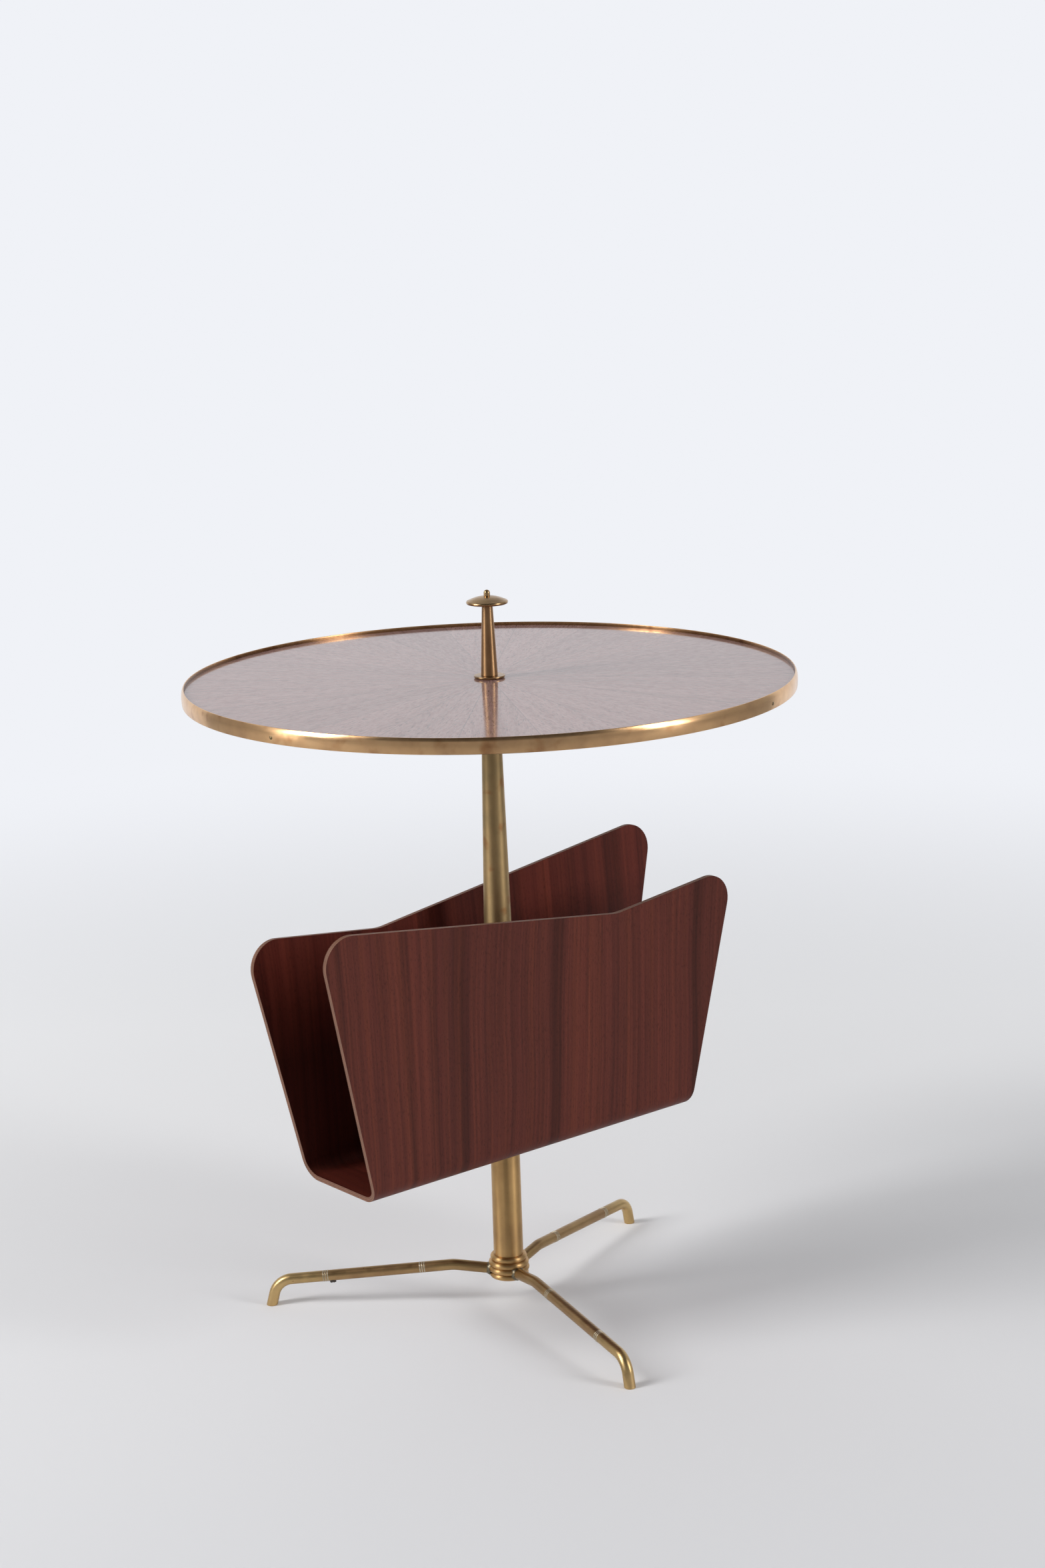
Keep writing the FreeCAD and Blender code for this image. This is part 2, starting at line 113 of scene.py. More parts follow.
def throughArc(start, through, end):  # arc in the X-Z plane from start through a point to end
    ax, az, bx, bz, cx, cz = start.x, start.z, through.x, through.z, end.x, end.z
    area4 = 2 * (ax * (bz - cz) + bx * (cz - az) + cx * (az - bz))  # four times the triangle's area
    aa, bb, cc = ax * ax + az * az, bx * bx + bz * bz, cx * cx + cz * cz
    centre = Vector(((aa * (bz - cz) + bb * (cz - az) + cc * (az - bz)) / area4, 0,
                     (aa * (cx - bx) + bb * (ax - cx) + cc * (bx - ax)) / area4))
    turn = (start - centre).angle(through - centre) + (through - centre).angle(end - centre)
    axis = (start - centre).cross(through - centre).normalized()
    return {"centre": centre, "axis": axis, "turn": turn}


def spinSelected(arc, steps):  # spin turns left-handed here, so the turn is negative
    bpy.ops.mesh.spin(steps=steps, angle=-arc["turn"], center=arc["centre"], axis=arc["axis"])


def spinRoundStem(steps, angle):
    bpy.ops.mesh.select_all(action="SELECT")
    bpy.ops.mesh.spin(steps=steps, angle=angle, center=(0, 0, 0), axis=(0, 0, 1))


def onSection(radius, height):  # a point of a lathe's section, given in mm
    return Vector((radius * mm, 0, height * mm))


def turnOnLathe(name, section, steps):
    # section in mm: (radius, height, corner rounding) for a straight stroke,
    # or (through radius, through height, radius, height, steps) for an arc
    first = onSection(*section[0][:2])
    piece = startLine(name, first)
    pen, corners = first, []
    for stroke in section[1:]:
        if len(stroke) == 5:
            end = onSection(*stroke[2:4])
            spinSelected(throughArc(pen, onSection(*stroke[:2]), end), stroke[4])
        else:
            end = onSection(*stroke[:2])
            drawLine(end - pen)
            if stroke[2]:
                corners.append((end, stroke[2] * mm))
        pen = end
    if max(first.x, pen.x) > near:  # a bored piece has a closed section
        pickPoints(piece, first, pen)
        bpy.ops.mesh.edge_face_add()
    for place, rounding in corners:
        pickPoints(piece, place)
        bpy.ops.mesh.bevel(offset=rounding, segments=4, affect="VERTICES")
    spinRoundStem(steps, math.tau)
    closeSeams()
    bpy.ops.object.mode_set(mode="OBJECT")
    return piece


def placed(piece, place=(0, 0, 0), turn=(0, 0, 0)):  # moves and turns a piece, and puts that into its mesh
    onlyPiece(piece)
    piece.rotation_euler = turn
    piece.location = place
    bpy.ops.object.transform_apply(location=True, rotation=True, scale=True)
    return piece


def copied(piece, name):
    startPiece()
    twin = piece.copy()
    twin.data = piece.data.copy()
    twin.name = twin.data.name = name
    bpy.context.scene.collection.objects.link(twin)
    return twin


def joined(pieces, name):
    startPiece()
    for part in pieces:
        part.select_set(True)
    bpy.context.view_layer.objects.active = pieces[0]
    bpy.ops.object.join()
    whole = bpy.context.object
    whole.name = whole.data.name = name
    return whole


def dress(piece, *finishes):
    for finish in finishes:
        piece.data.materials.append(finish)


def settle(piece, body, stoodFor=()):
    onlyPiece(piece)
    bpy.ops.object.shade_smooth_by_angle(angle=math.radians(40))
    weigh = piece.modifiers.new("flatFaces", "WEIGHTED_NORMAL")  # keeps flat faces flat beside rounded edges
    weigh.weight = 90
    weigh.keep_sharp = True
    bpy.ops.object.modifier_apply(modifier=weigh.name)
    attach(piece, body)
    if stoodFor:
        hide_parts(*stoodFor)
    print("piece:", piece.name, len(piece.data.polygons), "faces")


# finishes

def newFinish(name):
    finish = bpy.data.materials.new(name)
    finish.use_nodes = True
    tree = finish.node_tree
    return finish, tree, tree.nodes["Principled BSDF"]


def setSockets(node, values):
    for socket, value in values.items():
        node.inputs[socket].default_value = value


def addNode(tree, kind, values=None, **settings):
    node = tree.nodes.new(kind)
    for key, value in settings.items():
        setattr(node, key, value)
    setSockets(node, values or {})
    return node


def objectPlace(tree):
    return addNode(tree, "ShaderNodeTexCoord").outputs["Object"]


def split(tree, vector):  # X, Y and Z of a vector
    node = addNode(tree, "ShaderNodeSeparateXYZ")
    tree.links.new(vector, node.inputs["Vector"])
    return node.outputs


def lengthOf(tree, vector):
    node = addNode(tree, "ShaderNodeVectorMath", operation="LENGTH")
    tree.links.new(vector, node.inputs[0])
    return node.outputs["Value"]


def math2(tree, operation, first, second=0.0):
    node = addNode(tree, "ShaderNodeMath", operation=operation)
    for socket, value in zip(node.inputs, (first, second)):
        if isinstance(value, (int, float)):
            socket.default_value = value
        else:
            tree.links.new(value, socket)
    return node.outputs["Value"]


def stretchedNoise(tree, place, stretch, detail, roughness, distortion=0.0, shift=(0, 0, 0)):
    mapping = addNode(tree, "ShaderNodeMapping", {"Scale": stretch, "Location": shift})
    tree.links.new(place, mapping.inputs["Vector"])
    noise = addNode(tree, "ShaderNodeTexNoise",
                    {"Scale": 1.0, "Detail": detail, "Roughness": roughness, "Distortion": distortion})
    tree.links.new(mapping.outputs["Vector"], noise.inputs["Vector"])
    return noise.outputs["Fac"]


def mapped(tree, source, low, high, fromLow=noiseLow, fromHigh=noiseHigh):
    node = addNode(tree, "ShaderNodeMapRange",
                   {"From Min": fromLow, "From Max": fromHigh, "To Min": low, "To Max": high})
    tree.links.new(source, node.inputs["Value"])
    return node.outputs["Result"]


def ramp(tree, source, stops):  # stops: (position, colour)
    node = addNode(tree, "ShaderNodeValToRGB")
    band = node.color_ramp
    while len(band.elements) < len(stops):
        band.elements.new(0.5)
    for element, (position, colour) in zip(band.elements, stops):
        element.position = position
        element.color = (*colour, 1)
    tree.links.new(source, node.inputs["Fac"])
    return node.outputs["Color"]


def grey(value):
    return (value, value, value)


white = grey(1.0)


def multiply(tree, colour, *layers):
    for layer in layers:
        node = addNode(tree, "ShaderNodeMixRGB", {"Fac": 1.0}, blend_type="MULTIPLY")
        tree.links.new(colour, node.inputs["Color1"])
        tree.links.new(layer, node.inputs["Color2"])
        colour = node.outputs["Color"]
    return colour


def mixShaders(tree, factor, first, second):
    node = addNode(tree, "ShaderNodeMixShader")
    for socket, source in zip(node.inputs, (factor, first, second)):
        tree.links.new(source, socket)
    return node.outputs["Shader"]


def bumped(tree, shader, source, strength, socket="Normal"):
    bump = addNode(tree, "ShaderNodeBump", {"Strength": strength, "Distance": bumpDepth})
    tree.links.new(source, bump.inputs["Height"])
    tree.links.new(bump.outputs["Normal"], shader.inputs[socket])


plainMetal = {"speckFade": 0.06, "grain": 0.05}  # for metals whose own look doesn't say otherwise


def makeMetal(name, look):
    look = {**plainMetal, **look}
    finish, tree, shader = newFinish(name)
    setSockets(shader, {"Metallic": 1.0, "Anisotropic": look["brushed"], "Anisotropic Rotation": 0.25})
    place = objectPlace(tree)
    clouds = stretchedNoise(tree, place, grey(look["clouds"]), detail=5.0, roughness=0.62)
    lines = stretchedNoise(tree, place, look["lines"], detail=3.0, roughness=0.6)
    specks = stretchedNoise(tree, place, grey(look["specks"]), detail=2.0, roughness=0.5)
    tone = ramp(tree, clouds, [(noiseLow, look["dull"]), (noiseMiddle, look["main"]), (noiseHigh, look["bright"])])
    streaks = ramp(tree, lines, [(noiseLow, grey(1 - look["streak"])), (noiseHigh, white)])
    edge = look["speckEdge"]
    spots = ramp(tree, specks, [(edge, white), (edge + look["speckFade"], look["speckTint"])])
    colour = multiply(tree, tone, streaks, spots)
    if "tonesAndPaintedLight" in look:  # tone that changes with the distance from the stem's axis: tarnish bands, and painted light where a finish gives it
        level = addNode(tree, "ShaderNodeVectorMath", {1: (1, 1, 0)}, operation="MULTIPLY")
        tree.links.new(place, level.inputs[0])
        reach = mapped(tree, lengthOf(tree, level.outputs["Vector"]), 0, 1, *look["zoneSpan"])
        colour = multiply(tree, colour, ramp(tree, reach, look["tonesAndPaintedLight"]))
    tree.links.new(colour, shader.inputs["Base Color"])
    smooth, rough = look["rough"]
    patches = mapped(tree, clouds, rough, smooth)
    scuffs = mapped(tree, lines, -look["grain"], look["grain"])
    tree.links.new(math2(tree, "ADD", patches, scuffs), shader.inputs["Roughness"])
    if look["brushed"]:
        around = addNode(tree, "ShaderNodeTangent", direction_type="RADIAL", axis="Z")
        tree.links.new(around.outputs["Tangent"], shader.inputs["Tangent"])
    bumped(tree, shader, lines, look["scratch"])
    return finish


def grained(tree, place, grain, scales, colours, shift=(0, 0, 0)):  # layers of wood grain over each other
    noises, tones = {}, []
    for layer, (detail, roughness, distortion, levels) in grain.items():
        noises[layer] = stretchedNoise(tree, place, scales[layer], detail, roughness, distortion, shift)
        tones.append(ramp(tree, noises[layer], list(zip(levels, colours[layer]))))
    return noises, multiply(tree, *tones)


veneerGrain = {  # a layer's detail, roughness, distortion, and the noise levels where its colours change
    "bands": (2.0, 0.5, 0.0, (0.28, 0.5, 0.72)),
    "threads": (3.0, 0.6, 0.0, (0.32, 0.5, 0.68)),
    "lines": (2.0, 0.5, 0.0, (0.30, 0.68)),
    "figure": (2.0, 0.5, 0.0, (0.54, 0.66)),
    "pores": (2.0, 0.5, 0.0, (0.56, 0.66)),
}


def makeVeneer(name, look):
    finish, tree, shader = newFinish(name)
    setSockets(shader, {"Specular IOR Level": look["specular"]})
    straight = objectPlace(tree)
    wander = stretchedNoise(tree, straight, (5.0, 5.0, 3.2), detail=1.5, roughness=0.4, shift=look["shift"])
    sway = addNode(tree, "ShaderNodeVectorMath", {1: (look["sway"], 0, 0)}, operation="MULTIPLY_ADD")
    tree.links.new(wander, sway.inputs[0])  # the grain leans and wanders
    tree.links.new(straight, sway.inputs[2])
    scales = {layer: (look[layer][0], look[layer][1], look[layer][1]) for layer in veneerGrain}
    colours = {
        "bands": (look["dark"], look["main"], look["light"]), "threads": (look["cool"], white, look["warm"]),
        "lines": (grey(1 - look["stripe"]), white), "figure": (white, grey(1 - look["streak"])),
        "pores": (white, grey(1 - look["pore"])),
    }
    noises, colour = grained(tree, sway.outputs["Vector"], veneerGrain, scales, colours, look["shift"])
    if "depth" in look:  # painted shade: the veneer is coloured darker low in the rack, where the panels shade it
        height = mapped(tree, split(tree, straight)["Z"], 0, 1, *look["depth"])
        tones = ramp(tree, height, [(stop, grey(tone)) for stop, tone in look["depthTones"]])
        colour = multiply(tree, colour, tones)
    tree.links.new(colour, shader.inputs["Base Color"])
    tree.links.new(mapped(tree, noises["lines"], *look["rough"]), shader.inputs["Roughness"])
    bumped(tree, shader, noises["lines"], look["bump"])
    return finish


# camera at the photograph's viewpoint

viewpoint = {
    "place": (-1.46960, -1.81810, 0.98874),
    "heading": -39.541, "tilt": 77.090, "lean": -1.760,  # degrees
    "lens": 67.097, "sensor": 36.0,
}
startPiece()
bpy.ops.object.camera_add(location=viewpoint["place"])
camera = bpy.context.object
aim = (Matrix.Rotation(math.radians(viewpoint["heading"]), 3, "Z")
       @ Matrix.Rotation(math.radians(viewpoint["tilt"]), 3, "X")
       @ Matrix.Rotation(math.radians(viewpoint["lean"]), 3, "Z"))
camera.rotation_euler = aim.to_euler()
camera.data.lens = viewpoint["lens"]
camera.data.sensor_width = viewpoint["sensor"]
bpy.context.scene.camera = camera
bpy.context.scene.view_settings.view_transform = "Standard"
print("camera set")


# studio: wide pale floor that fades into a pale surround, two tall soft lights and two faint strips

studio = {
    "floorColour": (0.755, 0.757, 0.774), "floorBehind": (0.96, 0.96, 0.97), "floorSpan": (0.6, -0.8),
    "floorReach": 14.0, "floorRough": 0.9, "fade": (0.6, 2.2), "feltRough": 0.95, "gloss": 0.1,
    "surround": (0.871, 0.887, 0.930), "skyColour": (0.97, 0.98, 1.0), "skyStrength": 0.75,
    "overhead": 0.40, "skyFade": (0.25, 0.85), "sweepSteps": 40, "aimHeight": 0.35,
    "screens": [  # start and stroke of the line that is swept round the table, the sweep in degrees, and its grey
        {"name": "greyRunner", "start": (0.16, 0, 0.002), "stroke": (0.69, 0, 0),
         "sweep": 38.0, "grey": 0.18, "shades": False},
        {"name": "greyMat", "start": (0.85, 0, 0.002), "stroke": (3.35, 0, 0),
         "sweep": 250.0, "grey": 0.47, "shades": False},
        {"name": "greyCurtain", "start": (4.2, 0, 0.01), "stroke": (0, 0, 2.4),
         "sweep": 250.0, "grey": 0.47, "shades": True},
        {"name": "greyCeiling", "start": (0.02, 0, 2.6), "stroke": (2.2, 0, 0),
         "sweep": 210.0, "grey": 0.08, "shades": False},
        {"name": "greyCornice", "start": (3.0, 0, 1.52), "stroke": (-0.8, 0, 1.08),
         "sweep": 96.0, "grey": 0.08, "shades": False},
    ],
    "lights": [  # bearing from the camera's line in degrees, distance, height of the middle, width, tall, watts
        {"name": "softLeft", "bearing": -69.0, "away": 3.0, "middle": 2.25, "wide": 0.9, "tall": 2.3, "power": 78.0},
        {"name": "softRight", "bearing": 65.0, "away": 3.0, "middle": 1.55, "wide": 0.8, "tall": 1.8, "power": 33.0},
        {"name": "stripLeft", "bearing": -74.0, "away": 2.1, "middle": 0.95, "wide": 0.35, "tall": 1.7, "power": 3.9},
        {"name": "stripRight", "bearing": 66.0, "away": 2.1, "middle": 0.95, "wide": 0.35, "tall": 1.7, "power": 1.6},
    ],
}


def seenDirectly(tree):  # 1 for what the camera, a reflection or glass looks at
    ray = addNode(tree, "ShaderNodeLightPath")
    mirrored = math2(tree, "MAXIMUM", ray.outputs["Is Glossy Ray"], ray.outputs["Is Transmission Ray"])
    return math2(tree, "MAXIMUM", ray.outputs["Is Camera Ray"], mirrored)


towardsCamera = math.radians(viewpoint["heading"] - 90)
startPiece()
bpy.ops.mesh.primitive_plane_add(size=2 * studio["floorReach"])
studioFloor = bpy.context.object
studioFloor.name = "studioFloor"
floorFinish, tree, shader = newFinish("paleFloor")
setSockets(shader, {"Roughness": studio["floorRough"], "Specular IOR Level": studio["gloss"]})
spot = objectPlace(tree)
forward = addNode(tree, "ShaderNodeVectorMath", {1: (math.cos(towardsCamera), math.sin(towardsCamera), 0)},
                  operation="DOT_PRODUCT")
tree.links.new(spot, forward.inputs[0])
behind = mapped(tree, forward.outputs["Value"], 0, 1, *studio["floorSpan"])
floorTone = ramp(tree, behind, [(0, studio["floorColour"]), (1, studio["floorBehind"])])
tree.links.new(floorTone, shader.inputs["Base Color"])
fade = addNode(tree, "ShaderNodeMapRange", {"From Min": studio["fade"][0], "From Max": studio["fade"][1]},
               interpolation_type="SMOOTHSTEP")
tree.links.new(lengthOf(tree, spot), fade.inputs["Value"])
glow = addNode(tree, "ShaderNodeEmission", {"Color": (*studio["surround"], 1), "Strength": 1.0})
farAway = math2(tree, "MULTIPLY", fade.outputs["Result"], seenDirectly(tree))
fromAbove = mixShaders(tree, farAway, shader.outputs["BSDF"], glow.outputs["Emission"])
isBelow = addNode(tree, "ShaderNodeNewGeometry").outputs["Backfacing"]
fromBelow = addNode(tree, "ShaderNodeBsdfTransparent").outputs["BSDF"]  # lets the view through
tree.links.new(mixShaders(tree, isBelow, fromAbove, fromBelow), tree.nodes["Material Output"].inputs["Surface"])
dress(studioFloor, floorFinish)

sky = bpy.data.worlds.new("studioSky")
sky.use_nodes = True
tree = sky.node_tree
soft = tree.nodes["Background"]
setSockets(soft, {"Strength": studio["skyStrength"]})
plain = addNode(tree, "ShaderNodeBackground", {"Strength": 1.0})
skyward = split(tree, addNode(tree, "ShaderNodeTexCoord").outputs["Generated"])["Z"]
for colour, shown in ((studio["skyColour"], soft), (studio["surround"], plain)):
    dusk = tuple(part * studio["overhead"] for part in colour)
    tree.links.new(ramp(tree, skyward, list(zip(studio["skyFade"], (colour, dusk)))), shown.inputs["Color"])
bothSkies = mixShaders(tree, seenDirectly(tree), soft.outputs["Background"], plain.outputs["Background"])
tree.links.new(bothSkies, tree.nodes["World Output"].inputs["Surface"])
bpy.context.scene.world = sky

# grey felt sheets on the camera's side, which brass and lacquer mirror as the darker end of the room
for screen in studio["screens"]:
    feltFinish, tree, shader = newFinish(screen["name"])
    setSockets(shader, {"Base Color": (*grey(screen["grey"]), 1), "Roughness": studio["feltRough"],
                        "Specular IOR Level": studio["gloss"]})
    sweep = math.radians(screen["sweep"])
    sheet = startLine(screen["name"], screen["start"])
    drawLine(screen["stroke"])
    spinRoundStem(studio["sweepSteps"], -sweep)
    bpy.ops.object.mode_set(mode="OBJECT")
    sheet.rotation_euler = (0, 0, towardsCamera - sweep / 2)
    sheet.visible_camera = sheet.visible_shadow = False
    sheet.visible_diffuse = screen["shades"]
    dress(sheet, feltFinish)
for lamp in studio["lights"]:
    bearing = towardsCamera + math.radians(lamp["bearing"])
    place = Vector((math.cos(bearing) * lamp["away"], math.sin(bearing) * lamp["away"], lamp["middle"]))
    startPiece()
    bpy.ops.object.light_add(type="AREA", location=place)
    light = bpy.context.object
    light.name = lamp["name"]
    light.data.shape = "RECTANGLE"
    light.data.size, light.data.size_y = lamp["wide"], lamp["tall"]
    light.data.energy = lamp["power"]
    light.rotation_euler = (Vector((0, 0, studio["aimHeight"])) - place).to_track_quat("-Z", "Y").to_euler()
print("studio set")


# brass finishes

stemBrass = makeMetal("stemBrass", {
    "main": (0.48, 0.336, 0.166), "dull": (0.39, 0.292, 0.150), "bright": (0.55, 0.379, 0.188),
    "clouds": 22.0, "lines": (110, 110, 30), "streak": 0.08, "scratch": 0.02, "brushed": 0.55,
    "specks": 70.0, "speckEdge": 0.58, "speckFade": 0.12, "speckTint": (0.86, 0.68, 0.60), "rough": (0.50, 0.60),
})
lowerBrass = makeMetal("lowerBrass", {
    "main": (0.56, 0.350, 0.150), "dull": (0.47, 0.29, 0.128), "bright": (0.63, 0.40, 0.172),
    "clouds": 22.0, "lines": (110, 110, 30), "streak": 0.06, "scratch": 0.02, "brushed": 0.75,
    "specks": 330.0, "speckEdge": 0.74, "speckTint": (0.7, 0.6, 0.5), "rough": (0.38, 0.46),
})
legBrass = makeMetal("legBrass", {
    "main": (0.565, 0.385, 0.184), "dull": (0.47, 0.31, 0.158), "bright": (0.63, 0.442, 0.207),
    "clouds": 34.0, "lines": (120, 120, 120), "streak": 0.08, "scratch": 0.01, "brushed": 0.0,
    "specks": 420.0, "speckEdge": 0.72, "speckTint": (0.65, 0.55, 0.46), "rough": (0.32, 0.42),
    # tones along the leg: tarnish bands; the lighter knee and foot are partly yellower brass and partly painted
    # highlight from the bright floor they mirror
    "zoneSpan": (0, 0.25), "tonesAndPaintedLight": [
        (0.10, (0.71, 0.69, 0.64)), (0.30, (0.68, 0.635, 0.61)), (0.62, (0.69, 0.645, 0.65)),
        (0.66, (0.82, 0.82, 0.79)), (0.82, (1.08, 1.10, 1.05))],
})
gripBrass = makeMetal("gripBrass", {
    "main": (0.38, 0.226, 0.113), "dull": (0.305, 0.180, 0.091), "bright": (0.445, 0.274, 0.140),
    "clouds": 45.0, "lines": (110, 110, 40), "streak": 0.06, "scratch": 0.003, "brushed": 0.6, "grain": 0.02,
    "specks": 500.0, "speckEdge": 0.71, "speckTint": (0.6, 0.5, 0.4), "rough": (0.33, 0.42),
})
finialBrass = makeMetal("finialBrass", {
    "main": (0.44, 0.285, 0.144), "dull": (0.35, 0.225, 0.113), "bright": (0.52, 0.345, 0.174),
    "clouds": 60.0, "lines": (110, 110, 300), "streak": 0.06, "scratch": 0.003, "brushed": 0.3, "grain": 0.02,
    "specks": 500.0, "speckEdge": 0.71, "speckTint": (0.6, 0.5, 0.4), "rough": (0.24, 0.32),
})
rimBrass = makeMetal("rimBrass", {
    "main": (0.78, 0.480, 0.245), "dull": (0.63, 0.380, 0.200), "bright": (0.85, 0.538, 0.280),
    "clouds": 48.0, "lines": (16, 16, 160), "streak": 0.04, "scratch": 0.002, "brushed": 0.4, "grain": 0.015,
    "specks": 60.0, "speckEdge": 0.56, "speckFade": 0.20, "speckTint": (0.66, 0.54, 0.48), "rough": (0.19, 0.26),
    # painted reflection: the tone near the inner edge colours the rim's inner wall dark brown, as it looks mirroring
    # the dark veneer
    "zoneSpan": (0.2475, 0.2500), "tonesAndPaintedLight": [(0.07, (0.34, 0.285, 0.26)), (0.15, white)],
})
ringMetal = makeMetal("ringMetal", {
    "main": (0.56, 0.49, 0.36), "dull": (0.40, 0.34, 0.24), "bright": (0.66, 0.60, 0.47),
    "clouds": 160.0, "lines": (900, 900, 900), "streak": 0.10, "scratch": 0.04, "brushed": 0.0,
    "specks": 900.0, "speckEdge": 0.66, "speckTint": (0.5, 0.44, 0.36), "rough": (0.36, 0.48),
})
solderGrey = makeMetal("solderGrey", {
    "main": (0.22, 0.185, 0.125), "dull": (0.15, 0.122, 0.08), "bright": (0.30, 0.265, 0.19),
    "clouds": 220.0, "lines": (900, 900, 900), "streak": 0.12, "scratch": 0.06, "brushed": 0.0,
    "specks": 900.0, "speckEdge": 0.62, "speckTint": (0.45, 0.38, 0.30), "rough": (0.32, 0.5),
})


# upper and lower stem, turned from bar

stemTurning = {
    "stemUpper": {"node": "stem_upper", "finish": stemBrass, "steps": 96, "section": [
        (3.5, 151.3, 0), (12.2, 151.3, 0.5), (12.2, 300.3, 0), (7.45, 529.1, 0.3), (3.5, 529.1, 0)]},
    "stemLower": {"node": "stem_lower", "finish": lowerBrass, "steps": 96, "section": [
        (3.5, 44.1, 0), (12.6, 44.1, 0.5), (12.3, 143.1, 0.5), (3.5, 143.1, 0)]},
}
for stemName, turning in stemTurning.items():
    stem = turnOnLathe(stemName, turning["section"], turning["steps"])
    dress(stem, turning["finish"])
    settle(stem, "frame", [turning["node"]])


# hub of stacked beads

hubTurning = {
    "bottom": 24.1, "pitch": 5.0, "beads": (33.4, 35.0, 34.2, 31.2), "depth": 1.7, "beadSteps": 10,
    "bore": 3.5, "pocket": (8.0, 33.1), "steps": 96,
}
beads, pitch, hubBottom = hubTurning["beads"], hubTurning["pitch"], hubTurning["bottom"]
hubTop = hubBottom + len(beads) * pitch


def waist(index):  # radius under a bead, in from the narrower of the two that meet there
    return min(beads[max(index - 1, 0)], beads[min(index, len(beads) - 1)]) / 2 - hubTurning["depth"]


hubSection = [(hubTurning["pocket"][0], hubBottom, 0), (waist(0), hubBottom, 0)]
for index, width in enumerate(beads):
    low = hubBottom + index * pitch
    hubSection.append((width / 2, low + pitch / 2, waist(index + 1), low + pitch, hubTurning["beadSteps"]))
hubSection += [(hubTurning["bore"], hubTop, 0), (hubTurning["bore"], hubTurning["pocket"][1], 0),
               (*hubTurning["pocket"], 0)]
hubBeads = turnOnLathe("hubBeads", hubSection, hubTurning["steps"])
dress(hubBeads, lowerBrass)
settle(hubBeads, "frame", ["hub"])


# legs: a rod bent twice and cut off flat at the floor

legRod = {
    "radius": 4.65 * mm, "sides": 32, "socket": 10.0 * mm, "height": 28.6 * mm, "rise": 6.8,
    "elbow": 47.0 * mm, "elbowBend": 35.0 * mm, "elbowSteps": 8,
    "fall": 4.5, "kneeBend": 17.0 * mm, "kneeSteps": 16, "foot": 204.4 * mm, "splay": 14.0,
    "cutEdge": 0.4 * mm, "cutSteps": 3, "bearings": {"Left": 138.1, "Front": 258.1, "Back": 18.1},
}
rise, fall, splay = (slope(legRod[key]) for key in ("rise", "fall", "splay"))
socketEnd = Vector((legRod["socket"], 0, legRod["height"] + legRod["socket"] * rise))
elbow = Vector((legRod["elbow"], 0, legRod["height"] + legRod["elbow"] * rise))
kneeReach = (legRod["foot"] - (elbow.z + elbow.x * fall) * splay) / (1 - fall * splay)
knee = Vector((kneeReach, 0, elbow.z - (kneeReach - elbow.x) * fall))
underFloor = Vector((legRod["foot"] + legRod["radius"] * splay, 0, -legRod["radius"]))
alongSocket = (0, math.radians(90 - legRod["rise"]), 0)
startPiece()
bpy.ops.mesh.primitive_circle_add(vertices=legRod["sides"], radius=legRod["radius"], fill_type="NGON",
                                  location=socketEnd, rotation=alongSocket)
bpy.ops.object.transform_apply(location=True, rotation=True, scale=True)
legPattern = bpy.context.object
legPattern.name = legPattern.data.name = "legPattern"
bpy.ops.object.mode_set(mode="EDIT")
bpy.ops.mesh.select_mode(type="FACE")
bpy.ops.mesh.select_all(action="SELECT")
rodEnd = socketEnd
for bend, steps in ((cornerArc(socketEnd, elbow, knee, legRod["elbowBend"]), legRod["elbowSteps"]),
                    (cornerArc(elbow, knee, underFloor, legRod["kneeBend"]), legRod["kneeSteps"])):
    bpy.ops.mesh.extrude_region_move(TRANSFORM_OT_translate={"value": bend["start"] - rodEnd})
    spinSelected(bend, steps)
    rodEnd = bend["end"]
bpy.ops.mesh.extrude_region_move(TRANSFORM_OT_translate={"value": underFloor - rodEnd})
bpy.ops.mesh.select_all(action="SELECT")
bpy.ops.mesh.bisect(plane_co=(0, 0, 0), plane_no=(0, 0, 1), use_fill=True, clear_inner=True)
pick(legPattern, "EDGE", lambda edge: all(abs(point.co.z) < near for point in edge.verts))
bpy.ops.mesh.bevel(offset=legRod["cutEdge"], segments=legRod["cutSteps"])
closeSeams()
bpy.ops.object.mode_set(mode="OBJECT")
lowest = min(point.co.z for point in legPattern.data.vertices)
print("leg bent:", len(legPattern.data.polygons), "faces, lowest", lowest)

# inlaid rings, three together at two places on each leg
legRing = {
    "inside": 4.15, "outside": 4.85, "wide": 1.0, "edge": 0.3, "steps": 40,
    "pitch": 1.9 * mm, "reaches": (74.0 * mm, 157.0 * mm),
}
inside, outside, half, edge = legRing["inside"], legRing["outside"], legRing["wide"] / 2, legRing["edge"]
ringSection = [(inside, -half, 0), (outside, -half, edge), (outside, half, edge), (inside, half, 0)]
oneRing = turnOnLathe("oneRing", ringSection, legRing["steps"])
along = Vector((1, 0, -fall)).normalized()
ringSet = []
for reach in legRing["reaches"]:
    for index in (-1, 0, 1):
        place = Vector((reach, 0, elbow.z - (reach - elbow.x) * fall)) + along * (index * legRing["pitch"])
        ringSet.append(placed(copied(oneRing, "ring"), place, (0, math.radians(90 + legRod["fall"]), 0)))
bpy.data.objects.remove(oneRing)
ringsPattern = joined(ringSet, "ringsPattern")

# grey solder where each rod enters the hub
solderBead = {
    "section": [(4.4, 0, 0), (6.2, 0, 0), (5.6, 0.9, 0.4), (5.05, 1.9, 0.4), (4.7, 3.0, 0), (4.4, 3.0, 0)],
    "steps": 40, "reach": 15.8 * mm, "uneven": 0.12 * mm, "seed": 4,
}
solderPattern = turnOnLathe("solderPattern", solderBead["section"], solderBead["steps"])
bpy.ops.object.mode_set(mode="EDIT")
bpy.ops.mesh.select_all(action="SELECT")
bpy.ops.transform.vertex_random(offset=solderBead["uneven"], seed=solderBead["seed"])
bpy.ops.object.mode_set(mode="OBJECT")
placed(solderPattern, (solderBead["reach"], 0, legRod["height"] + solderBead["reach"] * rise), alongSocket)

